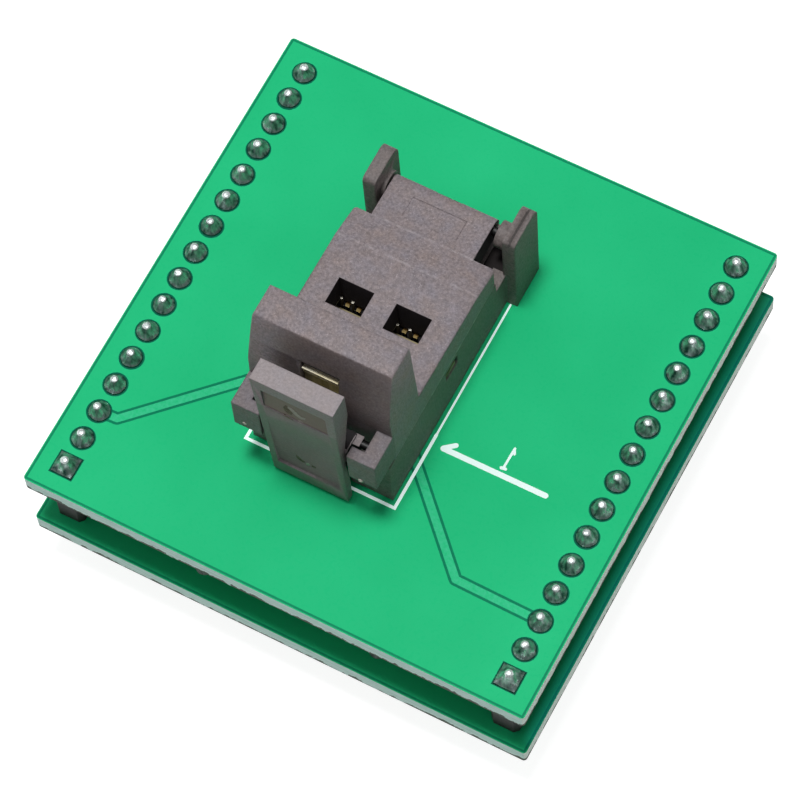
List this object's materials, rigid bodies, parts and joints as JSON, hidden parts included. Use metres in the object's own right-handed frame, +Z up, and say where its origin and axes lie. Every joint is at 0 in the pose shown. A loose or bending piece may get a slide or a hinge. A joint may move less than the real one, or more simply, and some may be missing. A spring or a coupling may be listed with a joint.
{
  "type": "ic test socket adapter",
  "caption": "Test socket adapter: a clamshell socket with a sprung latch and two small package sites on an upper board, plugged into a lower board with two rows of plug-in pins.",
  "frame": {"origin": "on the plane of the plug-in pins' tips, midway between the two pin rows and their ends", "axes": "+X across the pin rows, +Y along them from the latch to the hinge, +Z up"},
  "size_m": [0.043, 0.043, 0.0326],
  "materials": {
    "board": "green solder mask, semi gloss",
    "strip_black": "moulded, satin",
    "gold_pin": "gold flash",
    "tin_contact": "tinned",
    "solder": "bright solder",
    "gold_leaf": "gold plated sheet",
    "socket_plastic": "glass-filled, speckled",
    "latch_plastic": "glass-filled, speckled",
    "brass_sheet": "rolled sheet",
    "steel_pin": "ground",
    "spring_wire": "drawn wire"
  },
  "bodies": {
    "lower": {"lower_board": "board", "plug_strip_left": "strip_black", "plug_strip_right": "strip_black", "plug_pins_left": "gold_pin", "plug_pins_right": "gold_pin", "receptacle_strip_left": "strip_black", "receptacle_strip_right": "strip_black", "receptacle_contacts_left": "tin_contact", "receptacle_contacts_right": "tin_contact"},
    "upper": {"upper_board": "board", "header_strip_left": "strip_black", "header_strip_right": "strip_black", "header_pins_left": "gold_pin", "header_pins_right": "gold_pin", "header_solder_left": "solder", "header_solder_right": "solder", "site_contacts_left": "gold_leaf", "site_contacts_right": "gold_leaf", "socket_base": "socket_plastic", "nest_bar": "brass_sheet", "hinge_pin": "steel_pin", "hinge_spring": "spring_wire"},
    "lid": {"lid": "socket_plastic", "latch_pin": "steel_pin", "latch_spring": "brass_sheet"},
    "latch": {"latch": "latch_plastic"}
  },
  "joints": [
    {"name": "upper_unplug", "type": "slide", "parent": "lower", "child": "upper", "axis": [0, 0, 1], "range_m": [0, 0.0045]},
    {"name": "lid_hinge", "type": "hinge", "parent": "upper", "child": "lid", "pos_m": [-0.00145, 0.0102, 0.0221], "axis": [-1, 0, 0], "range_deg": [0, 105], "deforming": ["hinge_spring"]},
    {"name": "latch_hinge", "type": "hinge", "parent": "lid", "child": "latch", "pos_m": [-0.00145, -0.0103, 0.023], "axis": [-1, 0, 0], "range_deg": [0, 12], "stiffness_Nm_per_rad": 0.02, "springref_deg": -11.46, "deforming": ["latch_spring"]}
  ]
}
